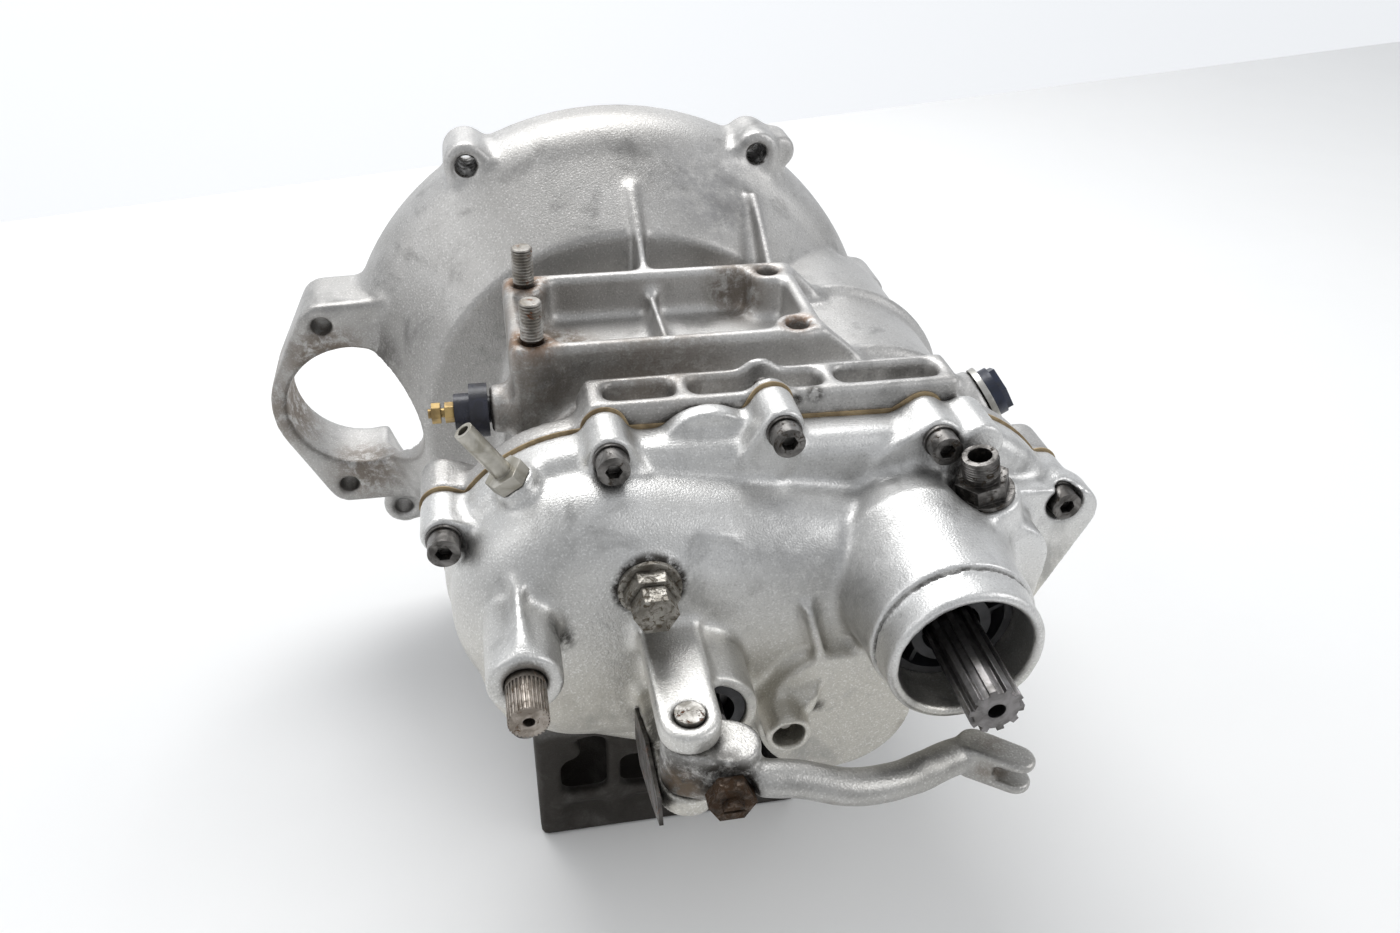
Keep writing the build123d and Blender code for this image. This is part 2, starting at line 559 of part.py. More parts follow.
GROOVE_R = 21.0
SLEEVE_R = 26.0
for name, y, width in zip(FORK_NAMES, SLEEVE_Y, SLEEVE_WIDTH):
    groove_half = (width - 3) / 4 + 0.5
    with BuildPart() as sleeve:
        ring(SLEEVE_R, SHAFT_R + FIT, y + width / 2, y - width / 2, OUTPUT)
        with BuildSketch(rear_plane(y + groove_half, *OUTPUT)) as groove:
            Circle(SLEEVE_R + 1)
            Circle(GROOVE_R, mode=Mode.SUBTRACT)
        extrude(groove.sketch, amount=2 * groove_half, mode=Mode.SUBTRACT)
    finish(sleeve.part, f"dog_sleeve_{name}")
    fork_half = groove_half - 0.3
    reach = math.dist(FORK_ROD, DRUM)
    pin = ((DRUM[0] - FORK_ROD[0]) / reach, 0, (DRUM[1] - FORK_ROD[1]) / reach)
    with BuildPart() as fork:
        with BuildSketch(rear_plane(y + fork_half)) as blade:
            with Locations(OUTPUT):
                Circle(31)
            with Locations((FORK_ROD[0] + 17, FORK_ROD[1])):
                Rectangle(34, 12)
            with Locations(OUTPUT):
                Circle(GROOVE_R + 0.4, mode=Mode.SUBTRACT)
            with Locations((OUTPUT[0] + 40, OUTPUT[1])):
                Rectangle(70, 90, mode=Mode.SUBTRACT)
        extrude(blade.sketch, amount=2 * fork_half)
        bar(8.5, y + 6, y - 6, FORK_ROD)
        tilted_bar(2.8, (FORK_ROD[0], y, FORK_ROD[1]), pin, 5, 18)
        bar(6 + FIT, y + 7, y - 7, FORK_ROD, Mode.SUBTRACT)
    finish(fork.part, f"shift_fork_{name}")

with BuildPart() as fork_rod:
    bar(6, -77, -256, FORK_ROD)
finish(fork_rod.part, "fork_rod")

with BuildPart() as selector_drum:
    bar(8, -77, -257, DRUM)
    bar(20, -99, -201, DRUM)
    hex_bar(42, -206, -211, DRUM)
    for y, width in zip(SLEEVE_Y, SLEEVE_WIDTH):
        half = 7.0 if width > 8 else 6.4
        with BuildSketch(rear_plane(y + half, *DRUM)) as track:
            Circle(21)
            Circle(17, mode=Mode.SUBTRACT)
        extrude(track.sketch, amount=2 * half, mode=Mode.SUBTRACT)
finish(selector_drum.part, "selector_drum")

with BuildPart() as shift_shaft:
    bar(7.65, -226, -303, SHIFT)
    bar(7.1, -303, -319, SHIFT)
    splines(SHIFT, 7.1, 7.65, 30, -303, -319)
    bar(2.25, -312, -320, SHIFT, Mode.SUBTRACT)
finish(shift_shaft.part, "shift_shaft")

with BuildPart() as shift_arm:
    hull_bar(((SHIFT[0], SHIFT[1], 13), (-34, 42, 6)), -230, -237)
    bar(7.65 + FIT, -229, -238, SHIFT, Mode.SUBTRACT)
finish(shift_arm.part, "shift_arm")

with BuildPart() as output_seal:
    bar(22 - FIT, -277, -284, OUTPUT)
    bar(COLLAR_BORE_R - 0.3, -284.2, -288, OUTPUT)
    bar(22 - FIT, -283, -285, OUTPUT)
    ring(COLLAR_BORE_R - 0.3, 23.5, -287, -295, OUTPUT)
    bar(16.5, -287, -298, OUTPUT)
    with BuildSketch(rear_plane(-287, *OUTPUT)) as webs:
        for turn in range(8):
            with Locations(Rotation(0, 0, turn * 45 + 10)):
                with Locations(Location((20, 0, 0), (0, 0, 18))):
                    Rectangle(9, 1.8)
    extrude(webs.sketch, amount=6)
    bar(SHAFT_R + FIT, -270, -300, OUTPUT, Mode.SUBTRACT)
finish(output_seal.part, "output_seal")

# ---------------------------------------------------------------- speedometer drive
with BuildPart() as speedometer_worm:
    ring(22.5, SHAFT_R + FIT, -249, -261, OUTPUT)
    for y in (-251, -254, -257, -260):
        with BuildSketch(rear_plane(y + 0.7, *OUTPUT)) as thread:
            Circle(24)
            Circle(21, mode=Mode.SUBTRACT)
        extrude(thread.sketch, amount=1.4, mode=Mode.SUBTRACT)
finish(speedometer_worm.part, "speedometer_worm")

with BuildPart() as speedometer_pinion:
    tilted_bar(7.4, SPEEDO_BASE, SPEEDO_TILT, -31.5, -19)
    with BuildSketch(tilted(along(SPEEDO_BASE, SPEEDO_TILT, -31.5), SPEEDO_TILT)) as pinion:
        for turn in range(14):
            with Locations(Rotation(0, 0, turn * 360 / 14)):
                with Locations((7.6, 0)):
                    Rectangle(2.6, 1.6)
    extrude(pinion.sketch, amount=12.5)
    tilted_bar(3, SPEEDO_BASE, SPEEDO_TILT, -19.5, -6)
finish(speedometer_pinion.part, "speedometer_pinion")

with BuildPart() as speedometer_fitting:
    tilted_bar(8, SPEEDO_BASE, SPEEDO_TILT, -16.5, 0)
    tilted_bar(13, SPEEDO_BASE, SPEEDO_TILT, 0, 2.2)
    tilted_hex(20, SPEEDO_BASE, SPEEDO_TILT, 2.2, 9)
    tilted_bar(7.3, SPEEDO_BASE, SPEEDO_TILT, 9, 20)
    tilted_bar(3 + FIT, SPEEDO_BASE, SPEEDO_TILT, -18, 5, Mode.SUBTRACT)
    tilted_bar(4.9, SPEEDO_BASE, SPEEDO_TILT, -4, 21, Mode.SUBTRACT)
finish(speedometer_fitting.part, "speedometer_fitting")

# ---------------------------------------------------------------- small fittings
with BuildPart() as selector_washer:
    ring(12.7, 5 + FIT, DOME_REAR, DOME_REAR - 2, ADJUSTER)
finish(selector_washer.part, "selector_washer")

with BuildPart() as selector_locknut:
    hex_bar(19, DOME_REAR - 2, DOME_REAR - 9, ADJUSTER)
    bar(5 + FIT, DOME_REAR, DOME_REAR - 10, ADJUSTER, Mode.SUBTRACT)
finish(selector_locknut.part, "selector_locknut")

with BuildPart() as selector_adjuster_screw:
    bar(5, -246, DOME_REAR - 9, ADJUSTER)
    hex_bar(15.5, DOME_REAR - 9.2, DOME_REAR - 18, ADJUSTER)
    bar(5, DOME_REAR - 8, DOME_REAR - 10, ADJUSTER)
finish(selector_adjuster_screw.part, "selector_adjuster_screw")

with BuildPart() as neutral_switch:
    with Locations((-70.2, *SWITCH)):
        Cylinder(6, 10.4, rotation=(0, 90, 0))
    with Locations((-79.2, *SWITCH)):
        Cylinder(12, 8, rotation=(0, 90, 0))
    with Locations((-86.5, *SWITCH)):
        Cylinder(8, 7, rotation=(0, 90, 0))
    with Locations((-90, *SWITCH)):
        Cylinder(2.2, 8, rotation=(0, 90, 0), mode=Mode.SUBTRACT)
finish(neutral_switch.part, "neutral_switch")

with BuildPart() as switch_terminal:
    with Locations((-94, *SWITCH)):
        Cylinder(2.15, 15, rotation=(0, 90, 0))
    for nut_x in (-90.2, -96):
        with BuildSketch(Plane(origin=(nut_x, *SWITCH), x_dir=(0, 1, 0), z_dir=(-1, 0, 0))) as nut:
            RegularPolygon(4, 6, major_radius=False)
        extrude(nut.sketch, amount=4)
finish(switch_terminal.part, "switch_terminal")

with BuildPart() as breather_tube:
    tilted_bar(4, BREATHER_BASE, BREATHER_AXIS, -10, 31)
    tilted_hex(15, BREATHER_BASE, BREATHER_AXIS, 1.1, 7)
    tilted_bar(2.4, BREATHER_BASE, BREATHER_AXIS, -11, 32, Mode.SUBTRACT)
finish(breather_tube.part, "breather_tube")

with BuildPart() as filler_washer:
    tilted_bar(15, FILLER_BASE, FILLER_AXIS, FILLER_BOSS + 0.03, FILLER_BOSS + 3)
    tilted_bar(9 + FIT, FILLER_BASE, FILLER_AXIS, FILLER_BOSS - 1, FILLER_BOSS + 4, Mode.SUBTRACT)
finish(filler_washer.part, "filler_washer")

with BuildPart() as filler_plug:
    tilted_bar(9, FILLER_BASE, FILLER_AXIS, 18, FILLER_BOSS + 4)
    tilted_bar(12, FILLER_BASE, FILLER_AXIS, FILLER_BOSS + 3.05, FILLER_BOSS + 8)
    tilted_hex(20, FILLER_BASE, FILLER_AXIS, FILLER_BOSS + 8, FILLER_BOSS + 11)
    tilted_bar(7, FILLER_BASE, FILLER_AXIS, FILLER_BOSS + 8, FILLER_BOSS + 12, Mode.SUBTRACT)
finish(filler_plug.part, "filler_plug")

with BuildPart() as drain_plug:
    with Locations((*DRAIN, -82)):
        Cylinder(7, 18)
    with BuildSketch(Plane(origin=(*DRAIN, -90.2), x_dir=(1, 0, 0), z_dir=(0, 0, -1))) as drain_head:
        RegularPolygon(9.5, 6, major_radius=False)
    extrude(drain_head.sketch, amount=8)
finish(drain_plug.part, "drain_plug")

with BuildPart() as spring_guide:
    bar(2.6, -277, -287, SPRING_BOSS)
    bar(4.2, -277, -279, SPRING_BOSS)
finish(spring_guide.part, "spring_guide")

# ---------------------------------------------------------------- clutch release
with BuildPart() as clutch_pushrod:
    bar(3.5, -24, -264.4, CLUTCH)
finish(clutch_pushrod.part, "clutch_pushrod")

with BuildPart() as thrust_body:
    bar(10, -264.5, -290, CLUTCH)
    bar(6, -288, -304, CLUTCH)
finish(thrust_body.part, "thrust_body")

with BuildPart() as thrust_boot:
    ring(14.8, 10.6, -286.5, -298, CLUTCH)
finish(thrust_boot.part, "thrust_boot")

with BuildPart() as lever_pivot_pin:
    with Locations((PIVOT[0], PIVOT[1], 1.5)):
        Cylinder(PIVOT_R, 47)
finish(lever_pivot_pin.part, "lever_pivot_pin")

ARM_PATH = (
    (2, -331, 3), (15.6, -335.8, 2), (27, -336.5, 0), (42, -339, -4),
    (59, -337.6, -8), (77.5, -331.5, -12), (93, -324.5, -15), (104, -321.5, -17),
)
with BuildPart() as clutch_lever:
    with BuildSketch(Plane.XY.offset(LEVER_EYE[0])) as eye:
        with BuildLine():
            CenterArc(PIVOT, 11, 0, 360)
            CenterArc((3, -326), 11, 0, 360)
        make_hull()
    extrude(eye.sketch, amount=LEVER_EYE[1] - LEVER_EYE[0])
    with BuildLine() as arm_line:
        Spline(*ARM_PATH)
    with BuildSketch(Plane(origin=arm_line.line @ 0, z_dir=arm_line.line % 0)) as arm_section:
        Ellipse(7.5, 6.5)
    sweep(arm_section.sketch, path=arm_line.line)
    with BuildSketch(Plane.XY.offset(-25)) as fork_end:
        with BuildLine():
            CenterArc((104, -322), 7, 0, 360)
            CenterArc((118, -333), 6.5, 0, 360)
        make_hull()
    extrude(fork_end.sketch, amount=16)
    with BuildSketch(Plane.XY.offset(-20.7)) as fork_slot:
        with Locations(Location((122, -336, 0), (0, 0, -38))):
            Rectangle(26, 22)
    extrude(fork_slot.sketch, amount=7.5, mode=Mode.SUBTRACT)
    with Locations((PIVOT[0], PIVOT[1], 0)):
        Cylinder(PIVOT_R + FIT, 60, mode=Mode.SUBTRACT)
    bar(10, -337, -352, CLUTCH, Mode.SUBTRACT)
    bar(4 + FIT, -300, -350, CLUTCH, Mode.SUBTRACT)
finish(clutch_lever.part, "clutch_lever")

with BuildPart() as lever_adjuster_screw:
    bar(4, -307, -347, CLUTCH)
    taper(2, 4, -304.3, -307, CLUTCH)
    block((-6, 6), (-345, -348), (-0.7, 0.7), Mode.SUBTRACT)
finish(lever_adjuster_screw.part, "lever_adjuster_screw")

with BuildPart() as lever_locknut:
    hex_bar(16, -337.5, -344, CLUTCH)
    bar(4 + FIT, -330, -346, CLUTCH, Mode.SUBTRACT)
finish(lever_locknut.part, "lever_locknut")

with BuildPart() as lever_side_plate:
    side_plate(((-272, -20), (-300, -9), (-330, -7), (-336, -16), (-318, -26), (-285, -40), (-272, -36)), -25.7, -24.1)
finish(lever_side_plate.part, "lever_side_plate")
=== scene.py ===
"""Looks of the gearbox: castings with cast fillets, machined and rusted steel, soft studio light."""
import json
import math
from collections import namedtuple

import bpy
import numpy as np
import openvdb
from mathutils import Matrix, Vector


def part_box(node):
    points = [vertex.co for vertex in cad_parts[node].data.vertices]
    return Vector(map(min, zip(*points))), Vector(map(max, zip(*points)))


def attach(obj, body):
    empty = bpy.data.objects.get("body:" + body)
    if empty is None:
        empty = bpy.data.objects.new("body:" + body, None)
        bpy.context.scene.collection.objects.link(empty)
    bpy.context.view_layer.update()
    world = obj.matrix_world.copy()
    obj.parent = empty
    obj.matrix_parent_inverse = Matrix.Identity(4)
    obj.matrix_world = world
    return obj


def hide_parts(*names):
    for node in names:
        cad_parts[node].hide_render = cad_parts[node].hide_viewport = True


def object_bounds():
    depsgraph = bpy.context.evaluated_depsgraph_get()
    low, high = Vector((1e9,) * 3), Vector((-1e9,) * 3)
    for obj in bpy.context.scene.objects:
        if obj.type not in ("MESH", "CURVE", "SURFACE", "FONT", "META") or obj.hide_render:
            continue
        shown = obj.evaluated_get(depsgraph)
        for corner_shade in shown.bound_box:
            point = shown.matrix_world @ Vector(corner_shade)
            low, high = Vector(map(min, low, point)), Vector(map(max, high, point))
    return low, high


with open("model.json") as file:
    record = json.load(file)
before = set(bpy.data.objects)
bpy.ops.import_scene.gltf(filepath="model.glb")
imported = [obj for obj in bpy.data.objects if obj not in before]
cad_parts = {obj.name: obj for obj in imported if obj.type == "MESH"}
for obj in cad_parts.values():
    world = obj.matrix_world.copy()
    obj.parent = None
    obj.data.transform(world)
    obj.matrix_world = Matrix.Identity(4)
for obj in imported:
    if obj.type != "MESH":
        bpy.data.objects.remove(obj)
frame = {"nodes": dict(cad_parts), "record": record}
cad_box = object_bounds()
NODES = frame["nodes"]
MOUNTS = {m["name"]: m for m in frame["record"]["mounts"]}
MM = 0.001


# ---------------------------------------------------------------- camera
def make_camera():
    """Camera above the gearbox's output end, a little to its left, looking down at it."""
    yaw, pitch, roll = (math.radians(angle) for angle in (11.92, 34.16, -1.65))
    place = Vector((-71, -605, 331)) * MM
    forward = Vector((math.sin(yaw) * math.cos(pitch), math.cos(yaw) * math.cos(pitch), -math.sin(pitch)))
    right = Vector((math.cos(yaw), -math.sin(yaw), 0))
    down = forward.cross(right)
    right, down = (
        math.cos(roll) * right + math.sin(roll) * down,
        -math.sin(roll) * right + math.cos(roll) * down,
    )
    data = bpy.data.cameras.new("camera")
    camera = bpy.data.objects.new("camera", data)
    bpy.context.scene.collection.objects.link(camera)
    matrix = Matrix((right, -down, -forward)).transposed().to_4x4()
    matrix.translation = place
    camera.matrix_world = matrix
    data.sensor_width = 36
    data.lens = 29.0571
    data.clip_start = 0.01
    data.clip_end = 50
    bpy.context.scene.camera = camera


make_camera()


# ---------------------------------------------------------------- node helpers
class Shader:
    """A material's node tree, with short calls for the nodes used here."""

    def __init__(self, name):
        self.material = bpy.data.materials.new(name)
        self.material.use_nodes = True
        self.tree = self.material.node_tree
        self.bsdf = self.tree.nodes["Principled BSDF"]
        self.place = self.new("ShaderNodeTexCoord").outputs["Object"]

    def new(self, kind, **settings):
        node = self.tree.nodes.new(kind)
        for key, value in settings.items():
            setattr(node, key, value)
        return node

    def link(self, value, socket):
        if isinstance(value, bpy.types.NodeSocket):
            self.tree.links.new(value, socket)
        else:
            socket.default_value = value

    def noise(self, scale, detail=3.0, rough=0.55, distortion=0.0, offset=(0, 0, 0)):
        """Fractal noise, its scale in cycles per metre."""
        node = self.new("ShaderNodeTexNoise")
        shifted = self.new("ShaderNodeVectorMath", operation="ADD")
        self.link(self.place, shifted.inputs[0])
        shifted.inputs[1].default_value = offset
        self.link(shifted.outputs[0], node.inputs["Vector"])
        node.inputs["Scale"].default_value = scale
        node.inputs["Detail"].default_value = detail
        node.inputs["Roughness"].default_value = rough
        node.inputs["Distortion"].default_value = distortion
        return node.outputs["Fac"]

    def math(self, operation, a, b=0.0, clamp=False):
        node = self.new("ShaderNodeMath", operation=operation, use_clamp=clamp)
        self.link(a, node.inputs[0])
        self.link(b, node.inputs[1])
        return node.outputs[0]

    def step(self, value, low, high, out_low=0.0, out_high=1.0):
        """Smooth change from out_low to out_high while value goes from low to high."""
        node = self.new("ShaderNodeMapRange", interpolation_type="SMOOTHSTEP")
        self.link(value, node.inputs["Value"])
        for key, number in (("From Min", low), ("From Max", high), ("To Min", out_low), ("To Max", out_high)):
            node.inputs[key].default_value = number
        return node.outputs["Result"]

    def mix(self, factor, a, b):
        """Colour a where factor is 0, colour b where it is 1."""
        node = self.new("ShaderNodeMix", data_type="RGBA")
        self.link(factor, node.inputs["Factor"])
        for index, value in ((6, a), (7, b)):
            if not isinstance(value, bpy.types.NodeSocket):
                value = (*value, 1.0) if len(value) == 3 else value
            self.link(value, node.inputs[index])
        return node.outputs[2]

    def near(self, point, inner, outer):
        """1 within inner metres of a point, falling to 0 at outer."""
        node = self.new("ShaderNodeVectorMath", operation="DISTANCE")
        self.link(self.place, node.inputs[0])
        node.inputs[1].default_value = point
        return self.step(node.outputs["Value"], inner, outer, 1.0, 0.0)

    def axis(self, index):
        """The place along X, Y or Z, in metres."""
        node = self.new("ShaderNodeSeparateXYZ")
        self.link(self.place, node.inputs[0])
        return node.outputs[index]

    def crevice(self, distance):
        """Ambient occlusion, used for painted shade: 1 in the open, lower in corners within a distance in
        metres.
        """
        node = self.new("ShaderNodeAmbientOcclusion", samples=6)
        node.inputs["Distance"].default_value = distance
        return node.outputs["AO"]

    def bump(self, *layers, base=None):
        """Bump nodes in a chain, one for each (height, strength, distance in metres)."""
        normal = base
        for height, strength, distance in layers:
            node = self.new("ShaderNodeBump")
            node.inputs["Strength"].default_value = strength
            node.inputs["Distance"].default_value = distance
            self.link(height, node.inputs["Height"])
            if normal is not None:
                self.link(normal, node.inputs["Normal"])
            normal = node.outputs[0]
        self.link(normal, self.bsdf.inputs["Normal"])

    def surface(self, color, roughness, metallic=1.0):
        self.link((*color, 1.0) if isinstance(color, tuple) else color, self.bsdf.inputs["Base Color"])
        self.link(roughness, self.bsdf.inputs["Roughness"])
        self.bsdf.inputs["Metallic"].default_value = metallic
        return self.material


# dark dirt colour, also used for painted shade in corners, on the foot and in holes
DIRT_AND_SHADE = (0.030, 0.025, 0.020)
BROWN = (0.16, 0.12, 0.085)
RUST = (0.23, 0.13, 0.07)
FOOT_FRONT = -0.118          # the rear foot's darkened stretch, dirt and painted shade, starts here along Y


def shade(color, factor):
    return tuple(min(1.0, part * factor) for part in color)


def cast_metal(name, light, dark, roughness, grain, corner_dirt_and_shade, marks, low_bounce_and_shade=None, low_shade_and_dirt=None):
    """Cast aluminium: blasted sparkling grain, smudges, dirt and painted shade in the corners, and marks at
    given places: stains, and painted shade in holes.

    Each mark is (point, inner radius, outer radius, amount, colour). low_bounce_and_shade is (top, bottom,
    colour), painted warm light bounced from the table and painted shade, and low_shade_and_dirt is (top,
    bottom, amount), dirt and painted shade, for what lies below a height.
    """
    s = Shader(name)
    fine = s.noise(grain, 2.0, 0.6)
    sparkle = s.noise(grain * 1.1, 1.0, 0.4, offset=(3, 1, 2))
    patch = s.noise(9, 5.0, 0.6, 0.4)
    smear = s.noise(38, 6.0, 0.65, 0.5, offset=(5, 5, 5))
    tone = s.mix(s.step(patch, 0.3, 0.7), dark, light)
    # painted warm bounce light from the table and painted shade, on what lies below a height
    if low_bounce_and_shade:
        top, bottom, color = low_bounce_and_shade
        tone = s.mix(s.step(s.axis(2), bottom, top, 0.85, 0.0), tone, color)
    tone = s.mix(s.step(sparkle, 0.55, 0.75, 0.0, 0.5), tone, shade(light, 1.3))
    tone = s.mix(s.step(sparkle, 0.25, 0.42, 0.35, 0.0), tone, shade(dark, 0.6))
    tone = s.mix(s.step(smear, 0.50, 0.74, 0.0, 0.6), tone, shade(dark, 0.45))
    rough_extra = None
    for point, inner, outer, amount, color in marks:
        edge = s.noise(150, 8.0, 0.75, 0.3, offset=(point[0] * 50, 7, point[2] * 50))
        reach = s.math("MULTIPLY", s.near(point, inner, outer), s.step(edge, 0.36, 0.56))
        mask = s.math("MULTIPLY", reach, amount)
        tone = s.mix(mask, tone, color)
        rough_extra = mask if rough_extra is None else s.math("MAXIMUM", rough_extra, mask)
    # dirt and painted shade in the corners, from ambient occlusion broken by noise
    corner_shade = s.step(s.crevice(0.007), 0.35, 0.85, 1.0, 0.0)
    broken = s.step(s.noise(130, 5.0, 0.7, 0.5, offset=(9, 2, 4)), 0.38, 0.62)
    grime_and_shade = s.math("MULTIPLY", s.math("MULTIPLY", corner_shade, broken), corner_dirt_and_shade)
    # dirt and painted shade below a height on the rear foot
    if low_shade_and_dirt:
        top, bottom, amount = low_shade_and_dirt
        mask = s.step(s.axis(2), bottom, top, amount, 0.0)
        mask = s.math("MULTIPLY", mask, s.step(s.axis(1), FOOT_FRONT - 0.01, FOOT_FRONT, 1.0, 0.0))
        cloud = s.noise(35, 5.0, 0.65, 0.7, offset=(4, 8, 1))
        mask = s.math("MULTIPLY", mask, s.step(cloud, 0.1, 0.6, 0.75, 1.0))
        grime_and_shade = s.math("MAXIMUM", grime_and_shade, mask)
    color = s.mix(grime_and_shade, tone, DIRT_AND_SHADE)
    rough = s.step(smear, 0.3, 0.7, roughness + 0.04, roughness - 0.04)
    rough = s.math("ADD", rough, s.math("MULTIPLY", grime_and_shade, 0.25))
    if rough_extra is not None:
        rough = s.math("ADD", rough, s.math("MULTIPLY", rough_extra, 0.2))
    s.bump((fine, 0.45, 0.0002), (sparkle, 0.4, 0.0003), (s.noise(70, 4.0, 0.5), 0.12, 0.0008))
    return s.surface(color, rough)


def steel(name, color, dark, roughness, scale=300, rust=0.0, rust_color=(0.16, 0.06, 0.025), metallic=1.0):
    """Machined steel with soft edges, oil film, fine wear, painted shade in the corners and optional rust."""
    s = Shader(name)
    patch = s.noise(scale * 0.4, 4.0, 0.6, 0.6)
    fine = s.noise(scale * 6, 3.0, 0.6)
    tone = s.mix(s.step(patch, 0.35, 0.65), dark, color)
    # painted shade in the corners, from ambient occlusion
    tone = s.mix(s.step(s.crevice(0.003), 0.3, 0.85, 0.7, 0.0), tone, shade(dark, 0.25))
    rough = s.step(patch, 0.3, 0.7, roughness + 0.1, roughness - 0.05)
    soft = s.new("ShaderNodeBevel", samples=4)
    soft.inputs["Radius"].default_value = 0.0006
    layers = [(fine, 0.25, 0.00012)]
    if rust > 0:
        spots = s.noise(scale * 0.8, 6.0, 0.7, 0.8, offset=(2, 6, 1))
        mask = s.step(spots, 0.62 - 0.3 * rust, 0.72 - 0.2 * rust)
        tone = s.mix(mask, tone, s.mix(fine, rust_color, shade(rust_color, 1.8)))
        rough = s.math("ADD", rough, s.math("MULTIPLY", mask, 0.3))
        layers.append((s.math("MULTIPLY", mask, s.noise(scale * 3, 4.0, 0.7)), 0.7, 0.0006))
    s.bump(*layers, base=soft.outputs[0])
    return s.surface(tone, rough, metallic)


def plain(name, color, dark, roughness, scale, metallic=0.0, bump=0.0002):
    """Rubber, plastic or paper with a fine uneven surface."""
    s = Shader(name)
    patch = s.noise(scale, 5.0, 0.6, 0.5)
    fine = s.noise(scale * 8, 3.0, 0.6)
    tone = s.mix(s.step(patch, 0.3, 0.7), dark, color)
    s.bump((fine, 0.5, bump))
    return s.surface(tone, s.step(patch, 0.3, 0.7, roughness + 0.1, roughness - 0.05), metallic)


# ---------------------------------------------------------------- castings from the frame's solids
Cut = namedtuple("Cut", "centre axis radius length inner", defaults=(0,))
MARGIN = 4                   # empty voxels kept round a casting
CLEARANCE = 0.15 * MM        # between a casting and every other part
MOST_FACES = 190000          # triangles in one casting


def arrays(obj):
    """Points and triangles of an object's mesh."""
    mesh = obj.data
    mesh.calc_loop_triangles()
    points = np.zeros(len(mesh.vertices) * 3, np.float32)
    mesh.vertices.foreach_get("co", points)
    triangles = np.zeros(len(mesh.loop_triangles) * 3, np.int32)
    mesh.loop_triangles.foreach_get("vertices", triangles)
    return points.reshape(-1, 3), triangles.reshape(-1, 3).astype(np.uint32)


def all_but(node):
    """Points and triangles of every CAD part but one."""
    points, triangles, count = [], [], 0
    for other, obj in NODES.items():
        if other != node:
            other_points, other_triangles = arrays(obj)
            points.append(other_points)
            triangles.append(other_triangles + np.uint32(count))
            count += len(other_points)
    return np.concatenate(points), np.concatenate(triangles)


def level_set(points, faces, voxel, band):
    transform = openvdb.createLinearTransform(voxelSize=voxel)
    kind = "quads" if faces.shape[1] == 4 else "triangles"
    return openvdb.FloatGrid.createLevelSetFromPolygons(
        points, transform=transform, halfWidth=band, **{kind: faces}
    )


def offset(grid, amount, voxel, band):
    points, quads = grid.convertToQuads(amount)
    return level_set(points, quads, voxel, band)


def smoothed(field):
    for axis in range(3):
        neighbours = np.roll(field, 1, axis) + np.roll(field, -1, axis)
        field = 0.5 * field + 0.25 * neighbours
    return field


def machine(field, low, voxel, cut):
    """Cut one bore into a field of distances, or a groove where the cut has an inner radius."""
    index = [np.arange(field.shape[k]) * voxel + low[k] * voxel for k in range(3)]
    reach = math.hypot(cut.radius, cut.length / 2) + 2 * voxel
    span = []
    for k in range(3):
        inside = np.nonzero(np.abs(index[k] - cut.centre[k]) < reach)[0]
        span.append(slice(int(inside[0]), int(inside[-1]) + 1) if len(inside) else slice(0, 0))
    x, y, z = np.meshgrid(*(index[k][span[k]] - cut.centre[k] for k in range(3)), indexing="ij")
    axis = Vector(cut.axis).normalized()
    along = x * axis.x + y * axis.y + z * axis.z
    away = np.sqrt(np.maximum(x * x + y * y + z * z - along * along, 0))
    shape = np.maximum(away - cut.radius, np.abs(along) - cut.length / 2)
    if cut.inner > 0:
        shape = np.maximum(shape, cut.inner - away)
    part = field[tuple(span)]
    np.maximum(part, -shape.astype(np.float32), out=part)


def quad_piece(name, points, quads):
    mesh = bpy.data.meshes.new(name)
    mesh.vertices.add(len(points))
    mesh.vertices.foreach_set("co", points.astype(np.float32).ravel())
    mesh.loops.add(quads.size)
    mesh.loops.foreach_set("vertex_index", quads[:, ::-1].astype(np.int32).ravel())
    mesh.polygons.add(len(quads))
    mesh.polygons.foreach_set("loop_start", np.arange(0, quads.size, 4, dtype=np.int32))
    mesh.polygons.foreach_set("loop_total", np.full(len(quads), 4, np.int32))
    mesh.update(calc_edges=True)
    mesh.validate()
    piece = bpy.data.objects.new(name, mesh)
    bpy.context.scene.collection.objects.link(piece)
    return piece


def thin_out(piece, ratio):
    thin = piece.modifiers.new("thin", "DECIMATE")
    thin.ratio = ratio
    shown = bpy.context.evaluated_depsgraph_get()
    reduced = bpy.data.meshes.new_from_object(piece.evaluated_get(shown))
    piece.modifiers.clear()
    piece.data = reduced


